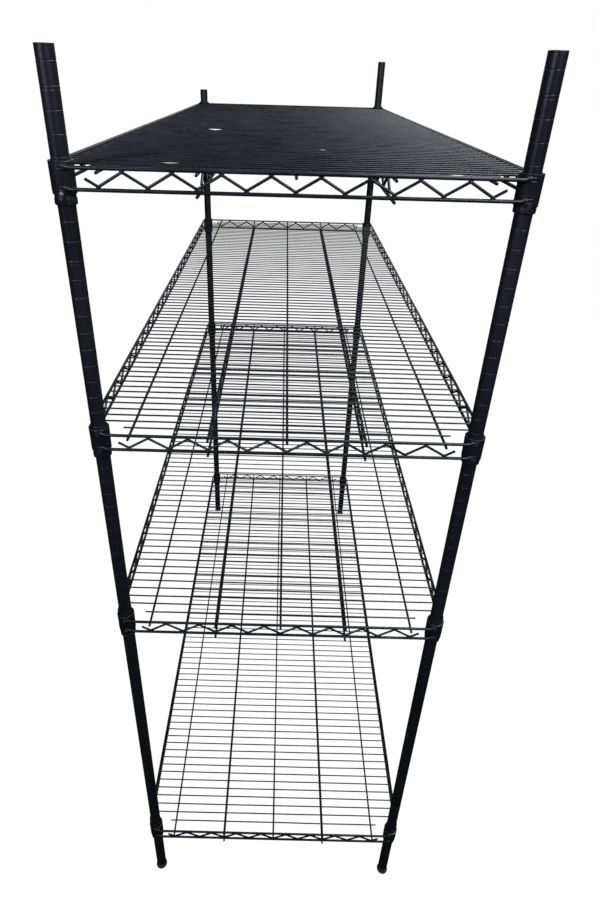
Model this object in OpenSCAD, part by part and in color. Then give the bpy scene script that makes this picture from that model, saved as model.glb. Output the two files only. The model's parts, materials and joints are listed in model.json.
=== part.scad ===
// Four-tier wire shelving rack. Millimetres, +Z up, origin on the floor at the centre of the four posts.
// X runs across the short ends, Y along the long sides. Front is -Y, left is -X.

/* [Rack] */
// Distance between post axes across a short end
post_span_x = 582; // [540:1:760]
// Distance between post axes along a long side
post_span_y = 1488; // [1486:1:1490]
// Height of the tall posts above the floor
rack_h = 1855.5; // [1820:0.5:1960]
// How much shorter the rear left post is than the others
short_post_cut = 93; // [0:1:100]
// How much lower the front left post stands on its foot than the others
low_post_drop = 5; // [0:0.5:6]

/* [Posts] */
// Outside diameter of a post tube
post_d = 23; // [22.8:0.1:23.2]
// Wall thickness of a post tube
post_wall = 1.2; // [1:0.1:1.6]
// Distance from one shelf-height groove to the next
groove_pitch = 25.4; // [25.4:0.1:26]
// Distance from the end of a post tube down to its first groove
first_groove = 16.5; // [15:0.5:19]
// Depth of a groove
groove_depth = 0.6; // [0.4:0.1:0.8]
// Width of a groove at the surface
groove_w = 1.8; // [1.4:0.1:2.4]
// Every so many grooves, a second groove marks the height
marker_every = 8; // [4:1:12]

/* [Shelves] */
// Groove pitches from the top of a post down to the top wire of the top shelf
top_shelf_drop = 5.36; // [5.36:1:6.36]
// Groove pitches from the top shelf down to the upper, middle and bottom shelves
shelf_drops = [0, 15, 31, 60];
// Distance between the top and bottom wires of an edge truss
truss_h = 25.4; // [24:0.2:28]
// Distance from a post axis out to the axis of an edge wire
edge_offset = 16.5; // [16.4:0.1:16.8]
// Deck wires on one shelf
deck_count = 74; // [64:1:84]
// Distance between deck wires
deck_pitch = 20.12; // [20:0.01:20.2]

/* [Wires] */
// Diameter of the edge wires
edge_wire_d = 5; // [4.6:0.1:5.2]
// Diameter of the wires that carry the deck
rib_wire_d = 4; // [3.6:0.1:4.4]
// Diameter of the zigzag wires
zigzag_wire_d = 3.9; // [3.4:0.1:4]
// Diameter of the deck wires
deck_wire_d = 2.6; // [2.2:0.1:2.8]
// Radius of a zigzag bend at the middle of the wire
bend_r = 4; // [3:0.5:5]

/* [Corners] */
// Outside diameter of a collar at its top
collar_top_d = 31; // [30.8:0.1:31.2]
// Outside diameter of a collar at its bottom
collar_bottom_d = 30.4; // [30.2:0.1:30.6]
// How far a collar stands above the top edge wire
collar_above = 6.5; // [4:0.5:8]
// How far a collar hangs below the bottom edge wire
collar_below = 7.4; // [6:0.2:9]
// Height of the sleeve rim that shows under a collar
rim_h = 8.5; // [6:0.5:10]

/* [Feet] */
// Clear height from the floor to the end of a post tube
foot_h = 27; // [26:0.5:30]
// Diameter of a foot pad
pad_d = 27; // [24:0.5:34]
// Diameter of a levelling screw
screw_d = 9.5; // [8:0.1:10]

/* [Hidden] */
CORNERS = ["front_left", "front_right", "rear_left", "rear_right"];
SHELVES = ["top", "upper", "middle", "bottom"];
$fn = 32;

steel_black = [0.11, 0.11, 0.13];
plastic_black = [0.07, 0.07, 0.08];
zinc = [0.45, 0.46, 0.48];

// Corner positions, in the order of CORNERS
corner_x = [-1, 1, -1, 1] * post_span_x / 2;
corner_y = [-1, -1, 1, 1] * post_span_y / 2;
low_post = 0;
short_post = 2;

// A small gap stands for each weld, so that neighbouring wires stay separate solids
weld_gap = 0.02;
running_gap = 0.06;

// Heights on a shelf, counted from the axis of its top edge wires
rib_top_z = -(edge_wire_d + rib_wire_d) / 2 - weld_gap;
rib_bottom_z = rib_top_z - truss_h;
deck_z = rib_top_z + (rib_wire_d + deck_wire_d) / 2 + weld_gap;
collar_top_z = collar_above;
collar_bottom_z = -truss_h - collar_below;
collar_h = collar_top_z - collar_bottom_z;
sleeve_bottom_z = collar_bottom_z - rim_h;

// Distances on a shelf
edge_x = post_span_x / 2 + edge_offset;
edge_y = post_span_y / 2 + edge_offset;
edge_wire_setback = 5;
rib_spacing = 121.6;
rib_overhang = 6;
short_deck_overhang = 13;
end_zigzag_pitch = rib_spacing / 2;
side_zigzag_pitch = 3 * deck_pitch;
// The zigzags stand between the two wires of their truss and just reach both.
// A rise is the height from the middle of the wire in a lower bend to its middle in an upper bend.
edge_zigzag_rise = truss_h - edge_wire_d - zigzag_wire_d - 2 * weld_gap;
rib_zigzag_rise = truss_h - rib_wire_d - zigzag_wire_d - 2 * weld_gap;
end_zigzag_bends = 17;
side_zigzag_bends = 2 * floor((deck_count - 3) / 3) + 1;
bend_steps = 4;
end_tail = 14;
side_tail = 22;

// Caps: the one of the low post sits flush
cap_h = 2.5;
flush_cap_h = 0.5;

// Corner sleeve: an inside bead sits in a groove and the outside is a wedge
sleeve_in_r = post_d / 2 + running_gap;
bore_top_r = 12.85;
bore_bottom_r = 13.7;
rim_r = 14.2;
rim_chamfer = 1;
bead_h = 1;
bead_depth = 0.4;
// The bead sits in the groove next below the top edge wire
top_wire_drop = top_shelf_drop * groove_pitch - cap_h - first_groove;
bead_z = top_wire_drop - ceil(top_wire_drop / groove_pitch) * groove_pitch;
sleeve_split = 4;

// Post tube
post_r = post_d / 2;
tube_in_r = post_r - post_wall;
marker_offset = 4.3;
groove_margin = 8;
edge_round = 0.6;

// Foot: screw in a push-in insert, pad turning on the end of the screw
insert_h = 25;
insert_lip = 3;
plug_gap = 0.05;
pad_h = 9;
pad_edge_h = 3;
pad_boss_r = 8;
socket_r = 3.6;
socket_z = 4;
stub_r = 3.5;
nut_h = 5.5;
nut_d = 16;
screw_top_z = 52;
screw_chamfer = 1;

function post_drop(i) = i == low_post ? low_post_drop : 0;
function post_cut(i) = i == short_post ? short_post_cut : 0;
function cap_lip(i) = i == low_post ? flush_cap_h : cap_h;
function tube_top(i) = rack_h - cap_h - post_cut(i) - post_drop(i);
function tube_bottom(i) = foot_h - post_drop(i);
function shelf_z(i) = rack_h - (top_shelf_drop + shelf_drops[i]) * groove_pitch;
function groove_at(z) = [
    [post_r, z - groove_w / 2],
    [post_r - groove_depth, z - groove_w / 6],
    [post_r - groove_depth, z + groove_w / 6],
    [post_r, z + groove_w / 2]
];
// A marker groove follows groove 2 and then every marker_every grooves
function has_marker(k) = k % marker_every == 2;
// Grooves are counted from the top of a full post, and the short post lacks the first of them
function groove_height(i, k) = tube_top(i) + post_cut(i) - first_groove - (k - 1) * groove_pitch;
function top_groove(i) = 1 + ceil((post_cut(i) + groove_margin - first_groove) / groove_pitch);
function groove_heights(i) =
    let (count = round((rack_h - cap_h - foot_h - first_groove) / groove_pitch))
    [
        for (k = [count : -1 : top_groove(i)])
            each concat(has_marker(k) ? [groove_height(i, k) - marker_offset] : [], [groove_height(i, k)])
    ];
function deck_y(k) = (k - (deck_count - 1) / 2) * deck_pitch;

// ---- Posts ----

module post(i) {
    top = tube_top(i);
    bottom = tube_bottom(i);
    outline = concat(
        [[tube_in_r, bottom], [post_r, bottom]],
        [for (z = groove_heights(i)) each groove_at(z)],
        [[post_r, top], [tube_in_r, top]]
    );
    color(steel_black)
        translate([corner_x[i], corner_y[i], 0])
            rotate_extrude($fn = 48)
                polygon(outline);
}

module post_cap(i) {
    plug_r = tube_in_r - plug_gap;
    plug_h = 12;
    plug_wall = 1.6;
    lip = cap_lip(i);
    bevel = lip / 4;
    color(plastic_black)
        translate([corner_x[i], corner_y[i], tube_top(i)])
            rotate_extrude($fn = 48)
                polygon([
                    [0, 0], [plug_r - plug_wall, 0], [plug_r - plug_wall, -plug_h], [plug_r, -plug_h],
                    [plug_r, 0], [post_r, 0], [post_r, lip - bevel], [post_r - bevel, lip], [0, lip]
                ]);
}

// ---- Feet ----

module foot_insert(i) {
    plug_r = tube_in_r - plug_gap;
    bore_r = screw_d / 2 + running_gap;
    color(plastic_black)
        translate([corner_x[i], corner_y[i], tube_bottom(i) - insert_lip])
            rotate_extrude($fn = 48)
                polygon([
                    [bore_r, 0], [post_r - edge_round, 0], [post_r, edge_round], [post_r, insert_lip],
                    [plug_r, insert_lip], [plug_r, insert_h], [bore_r, insert_h]
                ]);
}

module foot_pad(i) {
    color(plastic_black)
        translate([corner_x[i], corner_y[i], 0])
            rotate_extrude($fn = 48)
                polygon([
                    [0, 0], [pad_d / 2 - edge_round, 0], [pad_d / 2, edge_round], [pad_d / 2, pad_edge_h],
                    [pad_boss_r, pad_h - edge_round], [pad_boss_r - edge_round, pad_h],
                    [socket_r, pad_h], [socket_r, socket_z], [0, socket_z]
                ]);
}

module foot_screw(i) {
    nut_z = pad_h + running_gap;
    stub_z = socket_z + running_gap;
    shaft_z = nut_z + nut_h;
    color(zinc)
        translate([corner_x[i], corner_y[i], 0]) {
            translate([0, 0, stub_z]) cylinder(h = nut_z - stub_z, r = stub_r);
            translate([0, 0, nut_z]) cylinder(h = nut_h, d = nut_d, $fn = 6);
            translate([0, 0, shaft_z]) cylinder(h = screw_top_z - screw_chamfer - shaft_z, d = screw_d);
            translate([0, 0, screw_top_z - screw_chamfer])
                cylinder(h = screw_chamfer, d1 = screw_d, d2 = screw_d - 2 * screw_chamfer);
        }
}

// ---- Corner sleeves and collars ----

// Half of a split sleeve, wedge-shaped outside, on the post axis at shelf height
module sleeve_half() {
    top = collar_top_z - 1;
    taper = (bore_bottom_r - bore_top_r) / collar_h;
    top_r = bore_bottom_r - running_gap - taper * (top - collar_bottom_z);
    foot_r = bore_bottom_r - running_gap;
    rotate([0, 0, sleeve_split / 2])
        rotate_extrude(angle = 180 - sleeve_split, $fn = 48)
            polygon([
                [sleeve_in_r, sleeve_bottom_z], [rim_r - rim_chamfer, sleeve_bottom_z],
                [rim_r, sleeve_bottom_z + rim_chamfer], [rim_r, collar_bottom_z - running_gap],
                [foot_r, collar_bottom_z - running_gap], [foot_r, collar_bottom_z], [top_r, top],
                [sleeve_in_r, top], [sleeve_in_r, bead_z + bead_h / 2],
                [sleeve_in_r - bead_depth, bead_z + bead_h / 6],
                [sleeve_in_r - bead_depth, bead_z - bead_h / 6], [sleeve_in_r, bead_z - bead_h / 2]
            ]);
}

module sleeves(s) {
    color(plastic_black)
        for (i = [0 : 3], half = [0, 180])
            translate([corner_x[i], corner_y[i], shelf_z(s) - post_drop(i)])
                rotate([0, 0, 45 + half])
                    sleeve_half();
}

module collar_tube() {
    rotate_extrude($fn = 48)
        polygon([
            [bore_bottom_r, collar_bottom_z], [collar_bottom_d / 2, collar_bottom_z],
            [collar_top_d / 2, collar_top_z], [bore_top_r, collar_top_z]
        ]);
}

module collars(s) {
    color(steel_black)
        translate([0, 0, shelf_z(s)])
            difference() {
                for (i = [0 : 3]) translate([corner_x[i], corner_y[i], 0]) collar_tube();
                end_wire_set(edge_wire_d + 2 * weld_gap);
                side_wire_set(edge_wire_d + 2 * weld_gap);
            }
}

// ---- Wires ----

module wire_x(length, d) {
    rotate([0, 90, 0]) cylinder(h = length, d = d, center = true);
}

module wire_y(length, d) {
    rotate([90, 0, 0]) cylinder(h = length, d = d, center = true);
}

// Top and bottom wires of the two short edges, and of the two long edges
module end_wire_set(d) {
    length = post_span_x - 2 * edge_wire_setback;
    for (y = [-edge_y, edge_y], z = [0, -truss_h]) translate([0, y, z]) wire_x(length, d);
}

module side_wire_set(d) {
    length = post_span_y - 2 * edge_wire_setback;
    for (x = [-edge_x, edge_x], z = [0, -truss_h]) translate([x, 0, z]) wire_y(length, d);
}

module end_wires(s) {
    color(steel_black) translate([0, 0, shelf_z(s)]) end_wire_set(edge_wire_d);
}

module side_wires(s) {
    color(steel_black) translate([0, 0, shelf_z(s)]) side_wire_set(edge_wire_d);
}

// Bend i of a zigzag lies at half pitch i, below the middle when its side is -1 and above when it is 1
function bend_side(i, first) = i % 2 == 0 ? first : -first;
function bend_point(i, bends, pitch, rise, first, a, off) =
    let (side = bend_side(i, first), r = bend_r + side * off)
    [(i - (bends - 1) / 2) * pitch / 2, side * (rise / 2 - bend_r)]
        + r * [cos(side * (90 - a)), sin(side * (90 - a))];
// Slope of the straight legs between two bends
function leg_slope(pitch, rise) =
    let (half_pitch = pitch / 2, c = rise / 2 - bend_r)
    atan2(2 * c, half_pitch) + asin(2 * bend_r / norm([half_pitch, 2 * c]));
// One edge of the wire, off to one side of its middle line, with a straight tail at each end
function zigzag_edge(bends, pitch, rise, first, tail, off) =
    let (
        slope = leg_slope(pitch, rise),
        last_side = bend_side(bends - 1, first),
        start = bend_point(0, bends, pitch, rise, first, -slope, off),
        end = bend_point(bends - 1, bends, pitch, rise, first, slope, off)
    )
    concat(
        [start - tail * [1, first * tan(slope)]],
        [
            for (i = [0 : bends - 1], k = [0 : bend_steps])
                bend_point(i, bends, pitch, rise, first, slope * (2 * k / bend_steps - 1), off)
        ],
        [end + tail * [1, -last_side * tan(slope)]]
    );
function reverse(list) = [for (i = [len(list) - 1 : -1 : 0]) list[i]];

// Zigzag wire in the XZ plane, centred on the origin. first is -1 when the first bend is at the bottom.
module zigzag(bends, pitch, rise, first, tail) {
    rotate([90, 0, 0])
        linear_extrude(height = zigzag_wire_d, center = true)
            polygon(concat(
                zigzag_edge(bends, pitch, rise, first, tail, zigzag_wire_d / 2),
                reverse(zigzag_edge(bends, pitch, rise, first, tail, -zigzag_wire_d / 2))
            ));
}

module end_zigzags(s) {
    color(steel_black)
        for (side = [-1, 1])
            translate([0, side * edge_y, shelf_z(s) - truss_h / 2])
                zigzag(end_zigzag_bends, end_zigzag_pitch, edge_zigzag_rise, -1, end_tail);
}

module side_zigzags(s) {
    color(steel_black)
        for (side = [-1, 1])
            translate([side * edge_x, 0, shelf_z(s) - truss_h / 2])
                rotate([0, 0, 90])
                    zigzag(side_zigzag_bends, side_zigzag_pitch, edge_zigzag_rise, 1, side_tail);
}

// Two long trusses under the deck: top wire, bottom wire and zigzag each
module ribs(s) {
    length = 2 * (edge_y + rib_overhang);
    color(steel_black)
        translate([0, 0, shelf_z(s)])
            for (side = [-1, 1]) {
                translate([side * rib_spacing, 0, rib_top_z]) wire_y(length, rib_wire_d);
                translate([side * rib_spacing, 0, rib_bottom_z]) wire_y(length, rib_wire_d);
                translate([side * rib_spacing, 0, (rib_top_z + rib_bottom_z) / 2])
                    rotate([0, 0, 90])
                        zigzag(side_zigzag_bends, side_zigzag_pitch, rib_zigzag_rise, 1, side_tail);
            }
}

// Three plain wires that carry the deck between the ribs and the long edges
module support_wires(s) {
    length = 2 * (edge_y + rib_overhang);
    color(steel_black)
        for (x = [-2 * rib_spacing, 0, 2 * rib_spacing])
            translate([x, 0, shelf_z(s) + rib_top_z])
                wire_y(length, rib_wire_d);
}

// Deck wires butt against the long edge wires. The first and last are short, because a collar is in the way.
module deck_wires(s) {
    full = 2 * (edge_x - edge_wire_d / 2 - weld_gap);
    short = 2 * (2 * rib_spacing + short_deck_overhang);
    color(steel_black)
        for (k = [0 : deck_count - 1])
            translate([0, deck_y(k), shelf_z(s) + deck_z])
                wire_x(k == 0 || k == deck_count - 1 ? short : full, deck_wire_d);
}

for (i = [0 : 3]) {
    post(i);
    post_cap(i);
    foot_insert(i);
    foot_pad(i);
    foot_screw(i);
}
for (s = [0 : 3]) {
    sleeves(s);
    collars(s);
    end_wires(s);
    side_wires(s);
    end_zigzags(s);
    side_zigzags(s);
    ribs(s);
    support_wires(s);
    deck_wires(s);
}
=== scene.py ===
"""Looks of the wire shelving rack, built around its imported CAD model. Metres, +Z up, front -Y, left -X.

Places and lengths come from the CAD nodes. Each loose solid of a node is one wire, collar or sleeve half, and
a finished mesh is laid along it. Every finished piece stands for one CAD node and rides on that node's body.
"""
import functools
import json
import math

import bpy
import numpy as np
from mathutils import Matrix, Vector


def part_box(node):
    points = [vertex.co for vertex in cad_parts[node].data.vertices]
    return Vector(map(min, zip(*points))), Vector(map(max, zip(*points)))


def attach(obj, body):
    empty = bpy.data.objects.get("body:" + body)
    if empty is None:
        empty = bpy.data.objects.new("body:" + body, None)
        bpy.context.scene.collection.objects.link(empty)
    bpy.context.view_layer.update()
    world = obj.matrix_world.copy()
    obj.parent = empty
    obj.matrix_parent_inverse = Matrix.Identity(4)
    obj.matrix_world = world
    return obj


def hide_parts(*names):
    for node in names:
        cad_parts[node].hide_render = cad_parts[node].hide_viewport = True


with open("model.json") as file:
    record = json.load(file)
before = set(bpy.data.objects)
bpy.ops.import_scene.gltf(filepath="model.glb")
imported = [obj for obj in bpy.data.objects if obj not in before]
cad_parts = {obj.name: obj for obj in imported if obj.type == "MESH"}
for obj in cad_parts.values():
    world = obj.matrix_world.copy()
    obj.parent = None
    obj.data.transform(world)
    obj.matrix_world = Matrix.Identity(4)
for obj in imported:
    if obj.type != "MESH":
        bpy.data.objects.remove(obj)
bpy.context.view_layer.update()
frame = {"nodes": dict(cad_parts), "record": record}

MM = 0.001
CORNERS = ["front_left", "front_right", "rear_left", "rear_right"]
SHELVES = ["top", "upper", "middle", "bottom"]
NODE_BODY = {n: body for body, nodes in frame["record"]["behaviour"]["bodies"].items() for n in nodes}
SLOT_COLOR = {m["slot"]: m["base_color"] for m in frame["record"]["materials"]}

# Wires: the coat on the thin ones, and sides of their cross-section
COAT = 0.12 * MM
END_INSET = 0.1 * MM
WIRE_SIDES = 14
ZIGZAG_SIDES = 12
DECK_WIRE_SIDES = 10
EDGE_WIRE_SIDES = 20
ZIGZAG_BEND_R = 4 * MM
# Edge wires: their ends are pressed flat against the collars, rise a little, and are worn bare, lightened
# also as a painted glint
FLAT_END = 9 * MM
FLAT_RATIO = 0.62
END_RISE = 1.8 * MM
END_WEAR_AND_PAINTED_GLINT = 0.35
# Posts: wall of the tube, rounding of its ends, and the grooves. Two close grooves mark a height
POST_WALL = 1.2 * MM
POST_EDGE = 0.3 * MM
GROOVE_HALF_W = 0.8 * MM
GROOVE_DEPTH = 0.35 * MM
# Painted highlight along each groove, and a fainter one along a marker's second line
GROOVE_PAINTED_HIGHLIGHT = 0.05
MARKER_GAP = 6 * MM
MARKER_DEPTH_RATIO = 0.5
# Painted highlight along a marker's second line
MARKER_PAINTED_HIGHLIGHT = 0.01
# How far in from its rim a cap or insert goes to fit into the tube
PLUG_INSET = 1.25 * MM
# Collars: the pressed triangle at the bottom edge
DENT_W = 7 * MM
DENT_H = 8.2 * MM
DENT_DEPTH = 0.7 * MM
DENT_WEAR = 0.08
# Welds between a zigzag and its wires, half sizes along, across and up
BEND_WELD_LENGTH = 3.6 * MM
BEND_WELD_W = 1.6 * MM
BEND_WELD_H = 1.2 * MM
# Levelling screws
INSERT_BORE_R = 4.81 * MM
SHAFT_R = 4.75 * MM
STUB_R = 3.5 * MM
HEX_R = 8 * MM
HEX_H = 5.5 * MM
NUT_GAP = 0.06 * MM
THREAD_PITCH = 1.5 * MM
THREAD_DEPTH = 0.55 * MM
THREAD_RUNOUT = 0.6 * MM
# Deck wires pushed down a little: wire number from the front, place across the shelf, depth and half width
TOP_DECK_DENTS = [
    (28, -0.160, 3.2 * MM, 14 * MM),
    (27, -0.160, 3.2 * MM, 14 * MM),
    (2, -0.165, 0.8 * MM, 8 * MM),
    (12, 0.044, 1.4 * MM, 5 * MM),
    (0, 0.202, 1.2 * MM, 5 * MM),
]


# ---- Reading the CAD solids ----

def node_points(node):
    """Vertices and edges of a CAD node as arrays."""
    mesh = frame["nodes"][node].data
    points = np.empty(len(mesh.vertices) * 3)
    mesh.vertices.foreach_get("co", points)
    edges = np.empty(len(mesh.edges) * 2, int)
    mesh.edges.foreach_get("vertices", edges)
    return points.reshape(-1, 3), edges.reshape(-1, 2)


@functools.lru_cache(maxsize=None)
def loose_solids(node):
    """The vertices of each separate solid of a CAD node, in order of their centres."""
    points, edges = node_points(node)
    _, place = np.unique(np.round(points, 6), axis=0, return_inverse=True)
    place = place.reshape(-1)
    ends = place[edges]
    label = np.arange(place.max() + 1)
    changed = True
    while changed:
        before = label.copy()
        lowest = np.minimum(label[ends[:, 0]], label[ends[:, 1]])
        np.minimum.at(label, ends[:, 0], lowest)
        np.minimum.at(label, ends[:, 1], lowest)
        label = label[label]
        changed = bool((label != before).any())
    group = label[place]
    solids = [points[group == g] for g in np.unique(group)]
    return sorted(solids, key=lambda s: tuple(np.round((s.min(0) + s.max(0)) / 2, 4)))


def box(points):
    return points.min(0), points.max(0)


def clusters(values, gap):
    """Means of the groups into which sorted values fall when neighbours are over gap apart."""
    values = np.sort(values)
    cuts = np.nonzero(np.diff(values) > gap)[0] + 1
    return np.array([group.mean() for group in np.split(values, cuts)])


def post_axis(corner):
    lo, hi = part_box(corner + "_post")
    return np.array([(lo.x + hi.x) / 2, (lo.y + hi.y) / 2])


# ---- Mesh building ----

class Shape:
    """Points, faces, and wear and painted highlight of one piece, gathered part by part."""

    def __init__(self):
        self.points = []
        self.quads = []
        self.tris = []
        self.wear_and_painted_highlight = []
        self.count = 0

    def add(self, points, quads, tris=None, wear_and_painted_highlight=0.0):
        self.points.append(points)
        self.quads.append(np.asarray(quads, int).reshape(-1, 4) + self.count)
        if tris is not None:
            self.tris.append(np.asarray(tris, int).reshape(-1, 3) + self.count)
        self.wear_and_painted_highlight.append(np.broadcast_to(np.asarray(wear_and_painted_highlight, float), len(points)))
        self.count += len(points)

    def mesh(self, name):
        points = np.concatenate(self.points)
        quads = np.concatenate(self.quads)
        tris = np.concatenate(self.tris) if self.tris else np.empty((0, 3), int)
        corners = np.concatenate([quads.ravel(), tris.ravel()])
        sizes = np.concatenate([np.full(len(quads), 4), np.full(len(tris), 3)])
        mesh = bpy.data.meshes.new(name)
        mesh.vertices.add(len(points))
        mesh.vertices.foreach_set("co", points.ravel())
        mesh.loops.add(len(corners))
        mesh.loops.foreach_set("vertex_index", corners)
        mesh.polygons.add(len(sizes))
        mesh.polygons.foreach_set("loop_start", np.cumsum(sizes) - sizes)
        mesh.update(calc_edges=True)
        mesh.validate()
        wear_and_painted_highlight = mesh.attributes.new("wear_and_painted_highlight", "FLOAT", "POINT")
        wear_and_painted_highlight.data.foreach_set("value", np.concatenate(self.wear_and_painted_highlight))
        mesh.polygons.foreach_set("use_smooth", np.ones(len(mesh.polygons), bool))
        mesh.set_sharp_from_angle(angle=math.radians(38))
        return mesh


def grid_quads(rows, cols, wrap_rows=False):
    """Quads between rows of points, each row a closed ring of cols points."""
    i = np.arange(rows if wrap_rows else rows - 1)[:, None]
    j = np.arange(cols)[None, :]
    near = i * cols + j
    near_next = i * cols + (j + 1) % cols
    far = ((i + 1) % rows) * cols + j
    far_next = ((i + 1) % rows) * cols + (j + 1) % cols
    return np.stack([near, near_next, far_next, far], -1).reshape(-1, 4)


def fan(centre, first, cols, outward):
    """Triangles from a centre point to a ring of cols points."""
    j = np.arange(cols)
    ring = [first + j, first + (j + 1) % cols]
    if not outward:
        ring.reverse()
    return np.stack([np.full(cols, centre)] + ring, -1)


def tube(shape, path, side, half_side, half_up, cols, wear_and_painted_highlight=0.0):
    """A wire along path. side is a direction square to it; half_side and half_up are its half sizes."""
    steps = np.gradient(path, axis=0)
    steps /= np.linalg.norm(steps, axis=1)[:, None]
    across = side - (steps @ side)[:, None] * steps
    across /= np.linalg.norm(across, axis=1)[:, None]
    up = np.cross(steps, across)
    turn = 2 * np.pi * np.arange(cols) / cols
    rings = (
        path[:, None, :]
        + np.cos(turn)[None, :, None] * (half_side[:, None] * across)[:, None, :]
        + np.sin(turn)[None, :, None] * (half_up[:, None] * up)[:, None, :]
    )
    rows = len(path)
    points = np.concatenate([rings.reshape(-1, 3), path[:1], path[-1:]])
    tris = np.concatenate([
        fan(rows * cols, 0, cols, outward=False),
        fan(rows * cols + 1, (rows - 1) * cols, cols, outward=True),
    ])
    shape.add(points, grid_quads(rows, cols), tris, wear_and_painted_highlight)


def cut_ends(path, radius):
    """The path with extra points at its rounded ends, and how thick the wire is at each point."""
    first = (path[1] - path[0]) / np.linalg.norm(path[1] - path[0])
    last = (path[-1] - path[-2]) / np.linalg.norm(path[-1] - path[-2])
    insets = np.array([0, 0.12, 0.4, 0.8]) * radius
    scale = np.array([0.62, 0.86, 0.97, 1.0])
    start = path[0] + insets[:, None] * first
    end = path[-1] - insets[::-1, None] * last
    path = np.concatenate([start, path[1:-1], end])
    thickness = np.concatenate([scale, np.ones(len(path) - 2 * len(scale)), scale[::-1]])
    return path, thickness


def round_wire(shape, path, side, radius, cols=WIRE_SIDES, wear_and_painted_highlight=0.0):
    path, thickness = cut_ends(path, radius)
    tube(shape, path, np.asarray(side, float), radius * thickness, radius * thickness, cols, wear_and_painted_highlight)


def spots(shape, centres, half, cols=8, rows=5, wear_and_painted_highlight=0.0):
    """Small closed lumps of the same half sizes, such as weld beads."""
    rise = np.linspace(-np.pi / 2, np.pi / 2, rows + 2)[1:-1]
    turn = 2 * np.pi * np.arange(cols) / cols
    unit = np.stack([
        np.cos(rise)[:, None] * np.cos(turn)[None, :],
        np.cos(rise)[:, None] * np.sin(turn)[None, :],
        np.sin(rise)[:, None] * np.ones(cols)[None, :],
    ], -1).reshape(-1, 3)
    unit = np.concatenate([unit, [[0, 0, -1], [0, 0, 1]]])
    quads = grid_quads(rows, cols)
    tris = np.concatenate([
        fan(rows * cols, 0, cols, outward=False),
        fan(rows * cols + 1, (rows - 1) * cols, cols, outward=True),
    ])
    for centre in centres:
        shape.add(np.asarray(centre) + unit * np.asarray(half), quads, tris, wear_and_painted_highlight)


def lathe(shape, profile, axis, cols, wear_and_painted_highlight=0.0):
    """A ring turned from a closed outline of (radius, height) points, given counterclockwise."""
    profile = np.asarray(profile, float)
    turn = 2 * np.pi * np.arange(cols) / cols
    points = np.stack([
        axis[0] + profile[:, :1] * np.cos(turn)[None, :],
        axis[1] + profile[:, :1] * np.sin(turn)[None, :],
        profile[:, 1:2] * np.ones(cols)[None, :],
    ], -1).reshape(-1, 3)
    wear_and_painted_highlight = np.repeat(np.broadcast_to(wear_and_painted_highlight, len(profile)), cols)
    shape.add(points, grid_quads(len(profile), cols, wrap_rows=True)[:, ::-1], None, wear_and_painted_highlight)


def turned_solid(shape, profile, axis, cols, wear_and_painted_highlight=0.0):
    """A solid turned from an outline that runs from the axis at the bottom to the axis at the top."""
    profile = np.asarray(profile, float)
    turn = 2 * np.pi * np.arange(cols) / cols
    rings = profile[1:-1]
    points = np.stack([
        axis[0] + rings[:, :1] * np.cos(turn)[None, :],
        axis[1] + rings[:, :1] * np.sin(turn)[None, :],
        rings[:, 1:2] * np.ones(cols)[None, :],
    ], -1).reshape(-1, 3)
    ends = [[axis[0], axis[1], profile[0, 1]], [axis[0], axis[1], profile[-1, 1]]]
    count = len(rings) * cols
    tris = np.concatenate([
        fan(count, 0, cols, outward=False),
        fan(count + 1, count - cols, cols, outward=True),
    ])
    shape.add(np.concatenate([points, ends]), grid_quads(len(rings), cols), tris, wear_and_painted_highlight)


def rounded(outline, radius, steps=3):
    """The closed outline with each corner rounded by a short arc-like curve."""
    outline = np.asarray(outline, float)
    result = []
    for i, corner in enumerate(outline):
        before = outline[i - 1] - corner
        after = outline[(i + 1) % len(outline)] - corner
        reach_before = min(radius, np.linalg.norm(before) * 0.45)
        reach_after = min(radius, np.linalg.norm(after) * 0.45)
        start = corner + before / np.linalg.norm(before) * reach_before
        end = corner + after / np.linalg.norm(after) * reach_after
        for t in np.linspace(0, 1, steps + 1):
            result.append((1 - t) ** 2 * start + 2 * t * (1 - t) * corner + t ** 2 * end)
    return np.array(result)


def finish_piece(shape, node, mat):
    """Makes the piece of a CAD node from its shape."""
    piece = bpy.data.objects.new(node + ".look", shape.mesh(node + ".look"))
    bpy.context.scene.collection.objects.link(piece)
    piece.data.materials.append(mat)
    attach(piece, NODE_BODY[node])
    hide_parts(node)
    return piece


# ---- Materials ----

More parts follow.
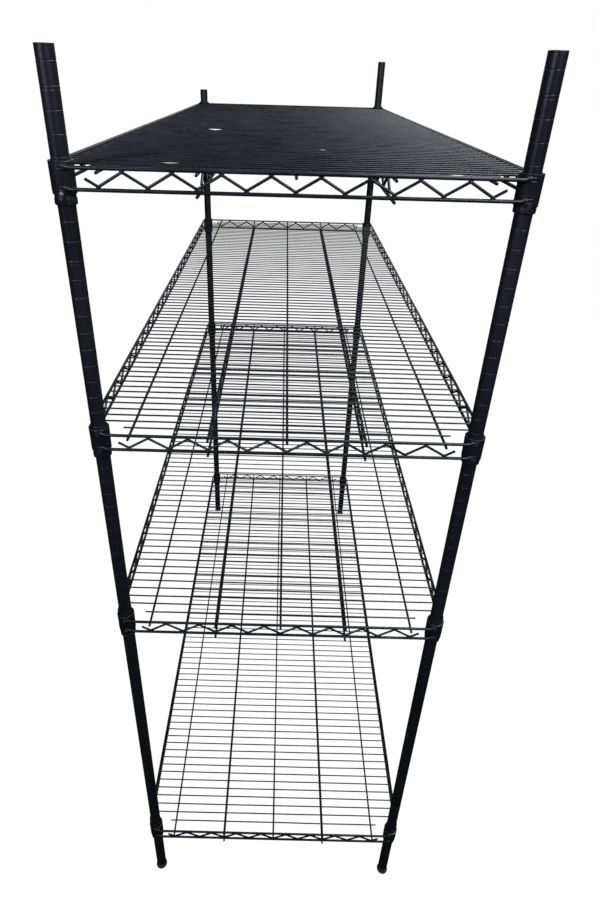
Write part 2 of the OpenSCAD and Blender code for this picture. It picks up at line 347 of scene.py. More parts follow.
class Finish:
    """A node material around one Principled shader, with the few node patterns that the finishes share."""

    def __init__(self, name):
        self.mat = bpy.data.materials.new(name)
        self.mat.use_nodes = True
        self.tree = self.mat.node_tree
        self.shader = self.tree.nodes["Principled BSDF"]
        self.coords = self.tree.nodes.new("ShaderNodeTexCoord").outputs["Object"]

    def link(self, source, target):
        self.tree.links.new(source, target)

    def noise(self, scale, detail=2.0, stretch=(1, 1, 1)):
        mapping = self.tree.nodes.new("ShaderNodeMapping")
        mapping.inputs["Scale"].default_value = stretch
        self.link(self.coords, mapping.inputs["Vector"])
        noise = self.tree.nodes.new("ShaderNodeTexNoise")
        noise.inputs["Scale"].default_value = scale
        noise.inputs["Detail"].default_value = detail
        self.link(mapping.outputs["Vector"], noise.inputs["Vector"])
        return noise.outputs["Fac"]

    def remap(self, source, low, high, to_low=0.0, to_high=1.0):
        node = self.tree.nodes.new("ShaderNodeMapRange")
        node.inputs["From Min"].default_value = low
        node.inputs["From Max"].default_value = high
        node.inputs["To Min"].default_value = to_low
        node.inputs["To Max"].default_value = to_high
        self.link(source, node.inputs["Value"])
        return node.outputs["Result"]

    def maths(self, operation, a, b):
        node = self.tree.nodes.new("ShaderNodeMath")
        node.operation = operation
        node.use_clamp = True
        for value, socket in ((a, node.inputs[0]), (b, node.inputs[1])):
            if isinstance(value, float):
                socket.default_value = value
            else:
                self.link(value, socket)
        return node.outputs["Value"]

    def mix(self, factor, a, b):
        """Colour a where factor is 0 and b where it is 1."""
        node = self.tree.nodes.new("ShaderNodeMix")
        node.data_type = "RGBA"
        self.link(factor, node.inputs["Factor"])
        sockets = [s for s in node.inputs if s.type == "RGBA"]
        for value, socket in ((a, sockets[0]), (b, sockets[1])):
            if isinstance(value, tuple):
                socket.default_value = value + (1,)
            else:
                self.link(value, socket)
        return [s for s in node.outputs if s.type == "RGBA"][0]

    def wear_and_painted_highlight(self):
        node = self.tree.nodes.new("ShaderNodeAttribute")
        node.attribute_name = "wear_and_painted_highlight"
        return node.outputs["Fac"]

    def facing_up(self, low, high):
        geometry = self.tree.nodes.new("ShaderNodeNewGeometry")
        split = self.tree.nodes.new("ShaderNodeSeparateXYZ")
        self.link(geometry.outputs["Normal"], split.inputs["Vector"])
        return self.remap(split.outputs["Z"], low, high)

    def bump(self, height, distance, strength=1.0, under=None):
        node = self.tree.nodes.new("ShaderNodeBump")
        node.inputs["Distance"].default_value = distance
        node.inputs["Strength"].default_value = strength
        self.link(height, node.inputs["Height"])
        if under is not None:
            self.link(under, node.inputs["Normal"])
        return node.outputs["Normal"]

    def done(self, color, roughness, normal):
        self.link(color, self.shader.inputs["Base Color"])
        self.link(roughness, self.shader.inputs["Roughness"])
        self.link(normal, self.shader.inputs["Normal"])
        return self.mat


def lighter(color, factor):
    return tuple(c * factor for c in color)


def coated_steel(slot, gloss, streaks=(1, 1, 1), dust=0.1):
    """Black powder coat: orange peel, a slow change of sheen, dust on top, tiny nicks, worn spots, and
    painted highlights in the post grooves, on the collar lips and at the wire ends.
    """
    base = tuple(SLOT_COLOR[slot])
    f = Finish(slot)
    slow = f.noise(14, 3, streaks)
    peel = f.noise(1100, 1.5)
    color = f.mix(f.remap(slow, 0.35, 0.7), lighter(base, 0.75), lighter(base, 1.25))
    dusty = f.maths("MULTIPLY", f.facing_up(0.55, 1.0), f.remap(f.noise(70, 4), 0.42, 0.75, 0.0, dust))
    color = f.mix(dusty, color, (0.12, 0.12, 0.13))
    nicks = f.remap(f.noise(420, 1.0), 0.80, 0.84)
    color = f.mix(nicks, color, (0.30, 0.29, 0.28))
    # Lighter where the mesh attribute is set: worn and chipped coat, and painted highlights in the post
    # grooves, on the collar lips and at the wire ends
    color = f.mix(f.wear_and_painted_highlight(), color, (0.62, 0.57, 0.50))
    rough = f.remap(slow, 0.3, 0.75, 1 - gloss - 0.07, 1 - gloss + 0.09)
    rough = f.maths("ADD", rough, f.maths("MULTIPLY", f.wear_and_painted_highlight(), 0.25))
    normal = f.bump(peel, 0.05 * MM, 0.2)
    f.shader.inputs["Coat Weight"].default_value = 0.25
    f.shader.inputs["Coat Roughness"].default_value = 0.3
    return f.done(color, rough, normal)


def moulded_plastic(slot, roughness, grain, scuffs):
    """Moulded black plastic with a fine spark texture, and scuffs where it is handled or stood on."""
    base = tuple(SLOT_COLOR[slot])
    f = Finish(slot)
    spark = f.noise(grain, 2.0)
    cloud = f.noise(60, 3.0)
    color = f.mix(f.remap(cloud, 0.35, 0.7), lighter(base, 0.8), lighter(base, 1.35))
    marks = f.remap(f.noise(260, 2.0, (1, 1, 0.25)), 0.66, 0.74, 0.0, scuffs)
    color = f.mix(marks, color, (0.20, 0.20, 0.19))
    color = f.mix(f.wear_and_painted_highlight(), color, (0.28, 0.27, 0.25))
    rough = f.remap(cloud, 0.3, 0.7, roughness - 0.08, roughness + 0.1)
    return f.done(color, rough, f.bump(spark, 0.06 * MM, 0.6))


def zinc_plate(slot):
    """Bright zinc with a slightly uneven grey and turned lines around the screw."""
    base = tuple(SLOT_COLOR[slot])
    f = Finish(slot)
    cloud = f.noise(220, 4.0)
    lines = f.noise(1600, 1.0, (0.05, 0.05, 1))
    color = f.mix(f.remap(cloud, 0.35, 0.65), lighter(base, 0.8), lighter(base, 1.15))
    rough = f.remap(cloud, 0.3, 0.7, 0.28, 0.45)
    f.shader.inputs["Metallic"].default_value = 1.0
    return f.done(color, rough, f.bump(lines, 0.03 * MM, 0.5))


MATERIALS = {
    "coated_post": coated_steel("coated_post", gloss=0.62, streaks=(3, 3, 0.25), dust=0.05),
    "coated_collar": coated_steel("coated_collar", gloss=0.68, dust=0.08),
    "coated_wire": coated_steel("coated_wire", gloss=0.70, dust=0.1),
    "black_plastic": moulded_plastic("black_plastic", roughness=0.42, grain=900, scuffs=0.3),
    "sleeve_plastic": moulded_plastic("sleeve_plastic", roughness=0.38, grain=1200, scuffs=0.3),
    "foot_plastic": moulded_plastic("foot_plastic", roughness=0.55, grain=700, scuffs=0.8),
    "zinc_steel": zinc_plate("zinc_steel"),
}


# ---- Posts, caps and feet ----

def groove_heights(node, outer_r):
    """Heights of the grooves of a post, from the CAD vertices that lie a little inside its surface."""
    points, _ = node_points(node)
    corner = node.replace("_post", "")
    radius = np.linalg.norm(points[:, :2] - post_axis(corner), axis=1)
    is_groove = (radius < outer_r - 0.3 * MM) & (radius > outer_r - 0.9 * MM)
    return clusters(points[is_groove, 2], 1.5 * MM)


def post(corner):
    """Grooved tube. The second line of a height marker is fainter than the grooves."""
    node = corner + "_post"
    lo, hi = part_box(node)
    radius = (hi.x - lo.x) / 2
    bore = radius - POST_WALL
    edge = POST_EDGE
    grooves = groove_heights(node, radius)
    outline = [(bore, lo.z + edge), (bore + edge, lo.z), (radius - edge, lo.z), (radius, lo.z + edge)]
    wear_and_painted_highlight = [0.0] * len(outline)
    for k, z in enumerate(grooves):
        is_marker = k + 1 < len(grooves) and grooves[k + 1] - z < MARKER_GAP
        depth = GROOVE_DEPTH * (MARKER_DEPTH_RATIO if is_marker else 1)
        # The first and last rows lie on the plain tube, so that its shading stays flat up to the groove
        for t in np.concatenate([[-1.4], np.linspace(-1, 1, 9), [1.4]]):
            dip = 0.5 * (1 + math.cos(math.pi * np.clip(t, -1, 1)))
            outline.append((radius - depth * dip, z + t * GROOVE_HALF_W))
            # Painted highlight along the groove, fainter on a marker's second line
            wear_and_painted_highlight.append(dip * (MARKER_PAINTED_HIGHLIGHT if is_marker else GROOVE_PAINTED_HIGHLIGHT))
    for r, z in ((radius, hi.z - edge), (radius - edge, hi.z), (bore + edge, hi.z), (bore, hi.z - edge)):
        outline.append((r, z))
        wear_and_painted_highlight.append(0.0)
    shape = Shape()
    lathe(shape, outline, post_axis(corner), 56, wear_and_painted_highlight)
    return finish_piece(shape, node, MATERIALS["coated_post"])


def post_cap(corner):
    """Push-in cap: a slightly domed top with a gate mark, over a hollow plug with two grip beads."""
    node = corner + "_post_cap"
    lo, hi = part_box(node)
    radius = (hi.x - lo.x) / 2
    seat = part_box(corner + "_post")[1].z
    lip = hi.z - seat
    plug = radius - PLUG_INSET
    hollow = plug - 1.6 * MM
    outline = [(0, seat), (hollow, seat), (hollow, lo.z), (plug - 0.5 * MM, lo.z)]
    for bead in (0.3, 0.7):
        z = lo.z + bead * (seat - lo.z)
        outline += [(plug - 0.25 * MM, z - 0.6 * MM), (plug, z), (plug - 0.25 * MM, z + 0.6 * MM)]
    edge, dome = 0.4 * lip, 0.12 * lip
    outline += [(plug - 0.25 * MM, seat), (radius - 0.15 * MM, seat), (radius, seat + 0.06 * lip)]
    for turn in np.linspace(0, 90, 5):
        angle = math.radians(turn)
        outline.append((radius - edge + edge * math.cos(angle), hi.z - dome - edge + edge * math.sin(angle)))
    for share in (0.85, 0.7, 0.5, 0.3, 0.12):
        outline.append((radius * share, hi.z - dome * share ** 2))
    outline += [(radius * 0.1, hi.z - dome), (0, hi.z - dome)]
    shape = Shape()
    turned_solid(shape, outline, post_axis(corner), 56)
    return finish_piece(shape, node, MATERIALS["black_plastic"])


def foot_insert(corner):
    """Threaded insert: a lip under the end of the tube and a plug inside it."""
    node = corner + "_foot_insert"
    lo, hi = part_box(node)
    tube_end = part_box(corner + "_post")[0].z
    radius = (hi.x - lo.x) / 2
    bore = INSERT_BORE_R
    plug = radius - PLUG_INSET
    outline = [
        (bore, lo.z), (radius, lo.z), (radius, tube_end), (plug, tube_end), (plug, hi.z), (bore, hi.z),
    ]
    shape = Shape()
    lathe(shape, rounded(outline, 0.5 * MM), post_axis(corner), 48)
    return finish_piece(shape, node, MATERIALS["black_plastic"])


def foot_pad(corner):
    """Pad with a raised hub and a scuffed skirt."""
    node = corner + "_foot_pad"
    lo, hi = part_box(node)
    radius = (hi.x - lo.x) / 2
    hub, socket = 8 * MM, 3.6 * MM
    skirt = lo.z + 3 * MM
    rim = [
        (radius - 0.8 * MM, lo.z), (radius, lo.z + 0.7 * MM), (radius, skirt - 0.5 * MM),
        (radius - 0.6 * MM, skirt), (hub + 1.6 * MM, skirt + 1.9 * MM), (hub + 0.4 * MM, skirt + 3.2 * MM),
        (hub, hi.z - 0.8 * MM), (hub - 0.7 * MM, hi.z),
    ]
    socket_floor = lo.z + 4 * MM
    hole = [(socket + 0.3 * MM, hi.z), (socket, hi.z - 0.3 * MM), (socket, socket_floor)]
    outline = [(0, lo.z)] + rim + hole + [(0, socket_floor)]
    shape = Shape()
    turned_solid(shape, outline, post_axis(corner), 64, wear_and_painted_highlight=0.12)
    return finish_piece(shape, node, MATERIALS["foot_plastic"])


def foot_screw(corner):
    """Ball stub, chamfered hex and a rolled thread."""
    node = corner + "_foot_screw"
    lo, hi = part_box(node)
    axis = post_axis(corner)
    nut_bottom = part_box(corner + "_foot_pad")[1].z + NUT_GAP
    nut_top = nut_bottom + HEX_H
    shape = Shape()
    cols = 72
    turn = 2 * np.pi * np.arange(cols) / cols
    ring = np.ones(cols)
    flat = HEX_R * math.cos(math.pi / 6)
    hexagon = flat / np.cos((turn + math.pi / 6) % (math.pi / 3) - math.pi / 6)
    chamfer = flat * 0.985
    bevelled = np.minimum(hexagon, chamfer + 0.55 * MM)
    rows = [
        (ring * STUB_R * 0.8, lo.z), (ring * STUB_R, lo.z + 0.7 * MM), (ring * STUB_R, nut_bottom),
        (ring * chamfer, nut_bottom), (bevelled, nut_bottom + 0.5 * MM), (hexagon, nut_bottom + 1.1 * MM),
        (hexagon, nut_top - 1.1 * MM), (bevelled, nut_top - 0.5 * MM), (ring * chamfer, nut_top),
        (ring * (SHAFT_R - THREAD_DEPTH), nut_top),
    ]
    thread_start, thread_end = nut_top + THREAD_RUNOUT, hi.z - THREAD_RUNOUT
    steps = int((thread_end - thread_start) / (THREAD_PITCH / 8))
    for z in np.linspace(thread_start, thread_end, steps):
        phase = ((z - thread_start) / THREAD_PITCH - turn / (2 * np.pi)) % 1.0
        crest = np.clip(1.5 - 4.2 * np.abs(phase - 0.5), 0, 1)
        fade = min(1.0, (hi.z - z) / (2 * MM))
        rows.append((SHAFT_R - THREAD_DEPTH * (1 - crest * fade), z))
    rows.append((ring * (SHAFT_R - 1.2 * MM), hi.z))
    points = np.concatenate([
        np.stack([axis[0] + r * np.cos(turn), axis[1] + r * np.sin(turn), np.full(cols, z)], -1)
        for r, z in rows
    ])
    count = len(points)
    ends = [[axis[0], axis[1], lo.z], [axis[0], axis[1], hi.z]]
    tris = np.concatenate([
        fan(count, 0, cols, outward=False),
        fan(count + 1, count - cols, cols, outward=True),
    ])
    shape.add(np.concatenate([points, ends]), grid_quads(len(rows), cols), tris)
    return finish_piece(shape, node, MATERIALS["zinc_steel"])


# ---- Sleeves and collars ----

def nearest_axis(points):
    centre = (points.min(0) + points.max(0))[:2] / 2
    return min((post_axis(c) for c in CORNERS), key=lambda a: np.linalg.norm(a - centre))


def arc_of(points, axis):
    """Start angle and span of a part of a ring, from the widest gap between its points' angles."""
    angles = np.sort(np.arctan2(points[:, 1] - axis[1], points[:, 0] - axis[0]))
    gaps = np.diff(np.append(angles, angles[0] + 2 * np.pi))
    widest = gaps.argmax()
    return angles[(widest + 1) % len(angles)], 2 * np.pi - gaps[widest]


def sleeves(shelf):
    """Split sleeves: the wedge inside the collar, and the rim that shows under it."""
    node = shelf + "_shelf_sleeves"
    shape = Shape()
    for solid in loose_solids(node):
        lo, hi = box(solid)
        axis = nearest_axis(solid)
        start, span = arc_of(solid, axis)
        radii = np.linalg.norm(solid[:, :2] - axis, axis=1)
        inner, outer = radii.min() + 0.4 * MM, radii.max()
        under = solid[radii > outer - 0.05 * MM, 2].max()
        outline = rounded([
            (inner, lo[2]), (outer - 1.1 * MM, lo[2]), (outer, lo[2] + 1.1 * MM), (outer, under),
            (outer - 0.56 * MM, under), (inner + 1.25 * MM, hi[2]), (inner, hi[2]),
        ], 0.35 * MM, 2)
        cols = 29
        turn = start + span * np.arange(cols) / (cols - 1)
        points = np.stack([
            axis[0] + outline[:, :1] * np.cos(turn)[None, :],
            axis[1] + outline[:, :1] * np.sin(turn)[None, :],
            outline[:, 1:2] * np.ones(cols)[None, :],
        ], -1)
        rows = len(outline)
        i = np.arange(rows)[:, None]
        j = np.arange(cols - 1)[None, :]
        quads = np.stack([
            i * cols + j, ((i + 1) % rows) * cols + j, ((i + 1) % rows) * cols + j + 1, i * cols + j + 1,
        ], -1).reshape(-1, 4)
        middle_r, middle_z = outline.mean(0)
        caps = [
            [axis[0] + middle_r * math.cos(angle), axis[1] + middle_r * math.sin(angle), middle_z]
            for angle in (start, start + span)
        ]
        near = np.arange(rows) * cols
        far = np.roll(near, -1)
        count = rows * cols
        first = np.stack([np.full(rows, count), far, near], -1)
        last = np.stack([np.full(rows, count + 1), near + cols - 1, far + cols - 1], -1)
        tris = np.concatenate([first, last])
        shape.add(np.concatenate([points.reshape(-1, 3), caps]), quads[:, ::-1], tris[:, ::-1])
    return finish_piece(shape, node, MATERIALS["sleeve_plastic"])


def collars(shelf):
    """Drawn collars with rolled lips that carry a painted highlight, a pressed triangle at the bottom edge,
    and welds to the wire ends.
    """
    node = shelf + "_shelf_collars"
    shape = Shape()
    cols = 120
    wall_rows = 34
    turn = 2 * np.pi * np.arange(cols) / cols
    for solid in loose_solids(node):
        lo, hi = box(solid)
        axis = nearest_axis(solid)
        outer_top = (hi[0] - lo[0]) / 2
        outer_bottom = outer_top - 0.3 * MM
        bore_top, bore_bottom = outer_top - 2.65 * MM, outer_bottom - 1.5 * MM
        height = hi[2] - lo[2]
        outside = [
            (outer_bottom + (outer_top - outer_bottom) * s, lo[2] + height * s)
            for s in np.linspace(0.02, 0.975, wall_rows)
        ]
        lip_top = [
            (outer_top + 0.05 * MM, hi[2] - 0.55 * MM), (outer_top - 0.25 * MM, hi[2] - 0.1 * MM),
            (outer_top - 0.8 * MM, hi[2]), (bore_top + 0.5 * MM, hi[2]), (bore_top, hi[2] - 0.5 * MM),
        ]
        lip_bottom = [
            (bore_bottom, lo[2] + 0.3 * MM), (bore_bottom + 0.25 * MM, lo[2]),
            (outer_bottom - 0.45 * MM, lo[2]), (outer_bottom - 0.1 * MM, lo[2] + 0.25 * MM),
        ]
        outline = np.array(outside + lip_top + lip_bottom)
        front = -np.pi / 2 if axis[1] < 0 else np.pi / 2
        off = np.abs((turn - front + np.pi) % (2 * np.pi) - np.pi) * outer_bottom
        radius = np.repeat(outline[:, :1], cols, axis=1)
        z = outline[:, 1:2] * np.ones(cols)[None, :]
        up = (z - lo[2]) / DENT_H
        inside = np.clip(((1 - up) * DENT_W / 2 - off[None, :]) / (0.8 * MM), 0, 1)
        inside *= (radius > bore_bottom + 0.3 * MM)
        radius = radius - DENT_DEPTH * inside
        is_chipped = shelf == "top" and axis[0] < 0 and axis[1] < 0
        wear_and_painted_highlight = (inside * (1.0 if is_chipped else DENT_WEAR)).ravel()
        # Painted highlight along the rolled top lip
        lip_painted_highlight = [0.02, 0.06, 0.06, 0.0, 0.0]
        wear_and_painted_highlight += np.repeat([0.0] * wall_rows + lip_painted_highlight + [0.0] * len(lip_bottom), cols)
        points = np.stack([
            axis[0] + radius * np.cos(turn)[None, :], axis[1] + radius * np.sin(turn)[None, :], z,
        ], -1).reshape(-1, 3)
        shape.add(points, grid_quads(len(outline), cols, wrap_rows=True), None, wear_and_painted_highlight)
        add_collar_welds(shape, shelf, axis, outer_top)
    return finish_piece(shape, node, MATERIALS["coated_collar"])


def add_collar_welds(shape, shelf, axis, outer_r):
    """A low bead above and below each wire end that is welded to this collar."""
    inward = -np.sign(axis)
    for kind, along in (("end", 0), ("side", 1)):
        for solid in loose_solids(f"{shelf}_shelf_{kind}_wires"):
            lo, hi = box(solid)
            other = 1 - along
            place = (lo[other] + hi[other]) / 2
            if abs(place - axis[other]) > 2 * outer_r:
                continue
            z = (lo[2] + hi[2]) / 2
            radius = (hi[2] - lo[2]) / 2
            centre = np.zeros(3)
            centre[along] = axis[along] + inward[along] * 2.5 * MM
            centre[other] = axis[other] + np.sign(place - axis[other]) * (outer_r - 0.2 * MM)
            half = np.empty(3)
            half[along], half[other], half[2] = 6 * MM, 1.0 * MM, 1.1 * MM
            for up in (-1, 1):
                centre[2] = z + up * (radius - 0.2 * MM)
                spots(shape, [centre.copy()], half, cols=12, rows=5)


# ---- Wires ----

def edge_wire(shape, solid, along):
    """Edge wire whose two ends are pressed flat against the collars, rise a little, and are lightened as bare
    metal with a painted glint.
    """
    lo, hi = box(solid)
    other = 1 - along
    radius = (hi[2] - lo[2]) / 2
    middle = (lo + hi) / 2
    length = hi[along] - lo[along]
    inset = np.concatenate([np.linspace(0, FLAT_END * 1.6, 9), [0.25 * length]])
    stations = np.concatenate([lo[along] + inset, [middle[along]], hi[along] - inset[::-1]])
    to_end = np.minimum(stations - lo[along], hi[along] - stations)
    press = np.clip(1 - to_end / FLAT_END, 0, 1)
    press = press * press * (3 - 2 * press)
    path = np.tile(middle, (len(stations), 1))
    path[:, along] = stations
    path[:, other] -= np.sign(middle[other]) * radius * (1 - FLAT_RATIO) * press
    path[:, 2] += END_RISE * press
    half_other = radius * (1 - (1 - FLAT_RATIO) * press)
    half_up = radius * (1 + 0.12 * press)
    end_scale = np.ones(len(stations))
    end_scale[0] = end_scale[-1] = 0.72
    end_scale[1] = end_scale[-2] = 0.97
    side = np.zeros(3)
    side[other] = 1
    # Bare cut metal at each end, lightened also as a painted glint
    bare_and_painted_glint = np.repeat(np.where(to_end < 0.5 * MM, END_WEAR_AND_PAINTED_GLINT, 0), EDGE_WIRE_SIDES)
    wear_and_painted_highlight = np.append(bare_and_painted_glint, [END_WEAR_AND_PAINTED_GLINT, END_WEAR_AND_PAINTED_GLINT])
    tube(shape, path, side, half_other * end_scale, half_up * end_scale, EDGE_WIRE_SIDES, wear_and_painted_highlight)


def edge_wires(shelf, kind):
    along = 0 if kind == "end" else 1
    node = f"{shelf}_shelf_{kind}_wires"
    shape = Shape()
    for solid in loose_solids(node):
        edge_wire(shape, solid, along)
    return finish_piece(shape, node, MATERIALS["coated_wire"])


def bend_places(solid, along):
    """Places along a zigzag wire of its upper and lower bends, as (place, 1 or -1) in order."""
    lo, hi = box(solid)
    near = 0.2 * MM
    upper = clusters(solid[solid[:, 2] > hi[2] - near, along], 5 * MM)
    lower = clusters(solid[solid[:, 2] < lo[2] + near, along], 5 * MM)
    return sorted([(u, 1) for u in upper] + [(u, -1) for u in lower])


def zigzag_path(solid, along):
    """Middle line of a zigzag wire: an arc at each bend, with straight legs and tails."""
    lo, hi = box(solid)
    other = 1 - along
    radius = (hi[other] - lo[other]) / 2
    top, bottom = hi[2] - radius, lo[2] + radius
    bends = bend_places(solid, along)
    step = bends[1][0] - bends[0][0]
    drop = top - bottom - 2 * ZIGZAG_BEND_R
    slope = math.atan2(drop, step) + math.asin(2 * ZIGZAG_BEND_R / math.hypot(step, drop))
    line = []
    for place, side in bends:
        centre = top - ZIGZAG_BEND_R if side > 0 else bottom + ZIGZAG_BEND_R
        for a in np.linspace(-slope, slope, 7):
            line.append((place + ZIGZAG_BEND_R * math.sin(a), centre + side * ZIGZAG_BEND_R * math.cos(a)))
    line = np.array(line)
    tail = line[0, 0] - lo[along] - radius * math.sin(slope)
    rise = np.array([1, math.tan(slope)])
    start = line[0] - tail * rise * [1, bends[0][1]]
    end = line[-1] + tail * rise * [1, -bends[-1][1]]
    line = np.concatenate([[start], line, [end]])
    path = np.empty((len(line), 3))
    path[:, along] = line[:, 0]
    path[:, other] = (lo[other] + hi[other]) / 2
    path[:, 2] = line[:, 1]
    return path, radius


def zigzag_wire(shape, solid, along):
    path, radius = zigzag_path(solid, along)
    side = np.zeros(3)
    side[1 - along] = 1
    round_wire(shape, path, side, radius, ZIGZAG_SIDES)
    add_bend_welds(shape, solid, along)


def add_bend_welds(shape, solid, along):
    """A weld that fills the seam between each bend of a zigzag and the wire that it touches."""
    lo, hi = box(solid)
    centres = []
    for place, side in bend_places(solid, along):
        centre = (lo + hi) / 2
        centre[along] = place
        centre[2] = hi[2] if side > 0 else lo[2]
        centres.append(centre)
    half = np.full(3, BEND_WELD_W)
    half[along] = BEND_WELD_LENGTH
    half[2] = BEND_WELD_H
    spots(shape, centres, half)


def edge_zigzags(shelf, kind):
    """Zigzag wires of the short ends or of the long sides, welded between the edge wires."""
    along = 0 if kind == "end" else 1
    node = f"{shelf}_shelf_{kind}_zigzags"
    shape = Shape()
    for solid in loose_solids(node):
        zigzag_wire(shape, solid, along)
    return finish_piece(shape, node, MATERIALS["coated_wire"])


def long_wire(shape, solid, wave, phase):
    """A coated wire along Y with a slow bow of a fraction of a millimetre."""
    lo, hi = box(solid)
    middle = (lo + hi) / 2
    radius = (hi[2] - lo[2]) / 2 + COAT
    share = np.linspace(0, 1, 25)
    path = np.tile(middle, (len(share), 1))
    path[:, 1] = lo[1] + END_INSET + share * (hi[1] - lo[1] - 2 * END_INSET)
    path[:, 0] += wave * np.sin(2 * np.pi * share + phase) * np.sin(np.pi * share)
    round_wire(shape, path, (1, 0, 0), radius)


def support_wires(shelf, rng):
    node = shelf + "_shelf_support_wires"
    shape = Shape()
    for solid in loose_solids(node):
        long_wire(shape, solid, 0.4 * MM, rng.uniform(0, 6))
    return finish_piece(shape, node, MATERIALS["coated_wire"])


def ribs(shelf, rng):
    """Trusses under the deck: two long wires with a zigzag welded between them."""
    node = shelf + "_shelf_ribs"
    shape = Shape()
    phase = rng.uniform(0, 6)
    for solid in loose_solids(node):
        lo, hi = box(solid)
        if hi[2] - lo[2] < 10 * MM:
            long_wire(shape, solid, 0.3 * MM, phase)
            continue
        zigzag_wire(shape, solid, 1)
    return finish_piece(shape, node, MATERIALS["coated_wire"])


def deck_wires(shelf, rng):
    """Thin wires across the shelf, each a little wavy, with a weld on every wire that carries them."""
    node = shelf + "_shelf_deck_wires"
    carriers = loose_solids(shelf + "_shelf_support_wires") + [
        s for s in loose_solids(shelf + "_shelf_ribs")
        if np.ptp(s[:, 2]) < 10 * MM and s[:, 2].max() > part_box(shelf + "_shelf_ribs")[1].z - MM
    ]
    carrier_x = np.array([(s[:, 0].min() + s[:, 0].max()) / 2 for s in carriers])
    shape = Shape()
    dents = TOP_DECK_DENTS if shelf == "top" else []
    for number, solid in enumerate(sorted(loose_solids(node), key=lambda s: s[:, 1].mean())):
        lo, hi = box(solid)
        middle = (lo + hi) / 2
        radius = (hi[2] - lo[2]) / 2 + COAT
        own_dents = [dent[1:] for dent in dents if dent[0] == number]
        x = np.linspace(lo[0], hi[0], 81 if own_dents else 41)
        share = (x - lo[0]) / (hi[0] - lo[0])
        path = np.tile(middle, (len(x), 1))
        path[:, 0] = x
        for waves in (1, 2, 5):
            size = rng.normal(0, 0.35 * MM / waves)
            path[:, 1] += size * np.sin(np.pi * waves * share + rng.uniform(0, 6))
        path[:, 2] -= 0.12 * MM * rng.random() * np.sin(np.pi * share * 6) ** 2
        for place, depth, half_width in own_dents:
            path[:, 2] -= depth * np.exp(-(((x - place) / half_width) ** 2))
        round_wire(shape, path, (0, 1, 0), radius, DECK_WIRE_SIDES)
        welds = [(cx, np.interp(cx, x, path[:, 1]), lo[2] - 0.05 * MM) for cx in carrier_x]
        spots(shape, welds, np.array([2.3, 1.9, 0.8]) * MM, cols=8, rows=3)
        reaches_edge_wires = hi[0] - lo[0] > 0.55
        if reaches_edge_wires:
            spots(shape, [path[0], path[-1]], np.array([1.3, 1.9, 1.5]) * MM, cols=8, rows=3)
    return finish_piece(shape, node, MATERIALS["coated_wire"])


# ---- The rack ----

for c in CORNERS:
    post(c)
    post_cap(c)
    foot_insert(c)
    foot_pad(c)
    foot_screw(c)

for index, s in enumerate(SHELVES):
    rng = np.random.default_rng(100 + index)
    sleeves(s)
    collars(s)
    for kind in ("end", "side"):
        edge_wires(s, kind)
        edge_zigzags(s, kind)
    ribs(s, rng)
    support_wires(s, rng)
    deck_wires(s, rng)


# ---- Studio ----

def camera_ray_mix(tree, seen, other):
    """A shader that is one thing to the camera and another to light and reflections."""
    path = tree.nodes.new("ShaderNodeLightPath")
    mix = tree.nodes.new("ShaderNodeMixShader")
    tree.links.new(path.outputs["Is Camera Ray"], mix.inputs[0])
    tree.links.new(other, mix.inputs[1])
    tree.links.new(seen, mix.inputs[2])
    return mix.outputs["Shader"]


def add_floor():
    """Plain white floor with faint shadows. It reflects less than it shows, so the black coat stays black."""
    mesh = bpy.data.meshes.new("floor")
    half = 60.0
    corners = [(-half, -half, 0), (half, -half, 0), (half, half, 0), (-half, half, 0)]
    mesh.from_pydata(corners, [], [(0, 1, 2, 3)])
    floor = bpy.data.objects.new("floor", mesh)
    bpy.context.scene.collection.objects.link(floor)
    mat = bpy.data.materials.new("studio_floor")
    mat.use_nodes = True
    tree = mat.node_tree
    tree.nodes.remove(tree.nodes["Principled BSDF"])
    glow = tree.nodes.new("ShaderNodeEmission")
    glow.inputs["Strength"].default_value = 1.12
    pale = tree.nodes.new("ShaderNodeBsdfDiffuse")
    pale.inputs["Color"].default_value = (0.9, 0.9, 0.9, 1)
    dim = tree.nodes.new("ShaderNodeBsdfDiffuse")
    dim.inputs["Color"].default_value = (0.03, 0.03, 0.033, 1)
    seen = tree.nodes.new("ShaderNodeMixShader")
    seen.inputs[0].default_value = 0.1
    tree.links.new(glow.outputs["Emission"], seen.inputs[1])
    tree.links.new(pale.outputs["BSDF"], seen.inputs[2])
    out = tree.nodes["Material Output"]
    tree.links.new(camera_ray_mix(tree, seen.outputs["Shader"], dim.outputs["BSDF"]), out.inputs["Surface"])
    mesh.materials.append(mat)


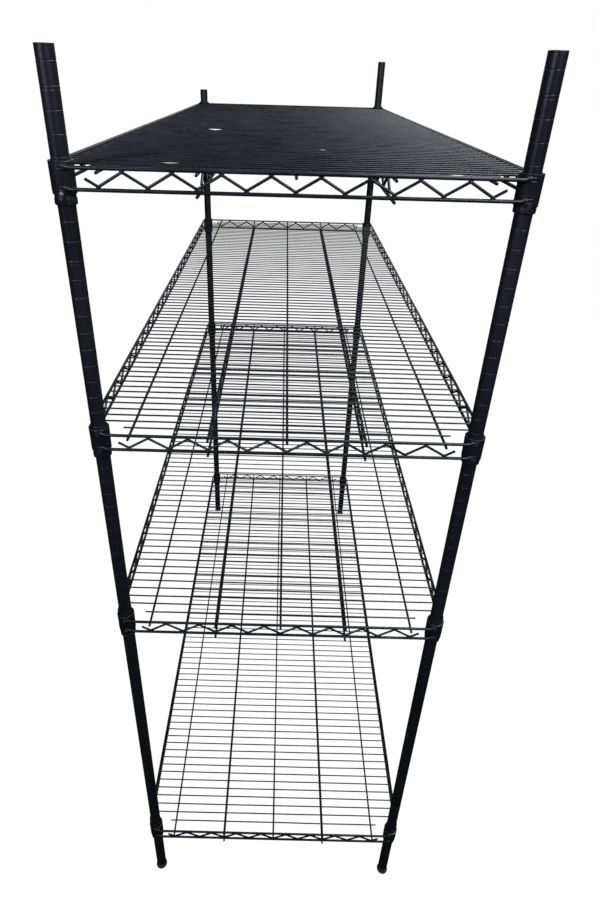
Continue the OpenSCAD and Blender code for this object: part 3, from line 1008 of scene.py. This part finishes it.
def add_world():
    """White to the camera, a dim cool grey to everything else."""
    world = bpy.data.worlds.new("studio")
    bpy.context.scene.world = world
    world.use_nodes = True
    tree = world.node_tree
    white = tree.nodes["Background"]
    white.inputs["Color"].default_value = (1, 1, 1, 1)
    dim = tree.nodes.new("ShaderNodeBackground")
    dim.inputs["Color"].default_value = (0.85, 0.93, 1.1, 1)
    dim.inputs["Strength"].default_value = 0.02
    mixed = camera_ray_mix(tree, white.outputs["Background"], dim.outputs["Background"])
    tree.links.new(mixed, tree.nodes["World Output"].inputs["Surface"])


def add_softbox(name, place, target, width, height, power, color=(1, 1, 1)):
    light = bpy.data.lights.new(name, "AREA")
    light.shape = "RECTANGLE"
    light.size = width
    light.size_y = height
    light.energy = power
    light.color = color
    lamp = bpy.data.objects.new(name, light)
    bpy.context.scene.collection.objects.link(lamp)
    lamp.location = place
    aim = np.array(target, float) - np.array(place, float)
    lamp.rotation_mode = "QUATERNION"
    lamp.rotation_quaternion = Vector(aim).to_track_quat("-Z", "Y")
    lamp.visible_camera = False


def add_camera():
    """Standing in front of a short end, at the height of the post tops, looking down along the shelves."""
    data = bpy.data.cameras.new("camera")
    data.lens = 24.12
    data.sensor_width = 36
    data.shift_x = 0.0214
    data.shift_y = -0.0394
    camera = bpy.data.objects.new("camera", data)
    camera.location = (-0.0141, -1.5490, 1.8302)
    camera.rotation_euler = [math.radians(a) for a in (60.071, -1.412, 0.588)]
    bpy.context.scene.collection.objects.link(camera)
    bpy.context.scene.camera = camera


COOL = (0.80, 0.88, 1.12)

add_floor()
add_world()
add_softbox("overhead", (1.0, -0.3, 3.7), (0, 0.2, 1.6), 1.4, 1.4, 44)
add_softbox("front_left", (-1.4, -2.5, 2.5), (-0.2, -0.7, 1.75), 0.8, 0.9, 18, COOL)
add_softbox("front_right", (0.9, -2.0, 2.6), (0.25, -0.7, 1.8), 0.8, 0.7, 11, COOL)
add_softbox("rear", (0, 7.0, 2.9), (0, 0, 1.6), 7.0, 1.4, 29)
add_camera()
bpy.context.scene.view_settings.view_transform = "Standard"
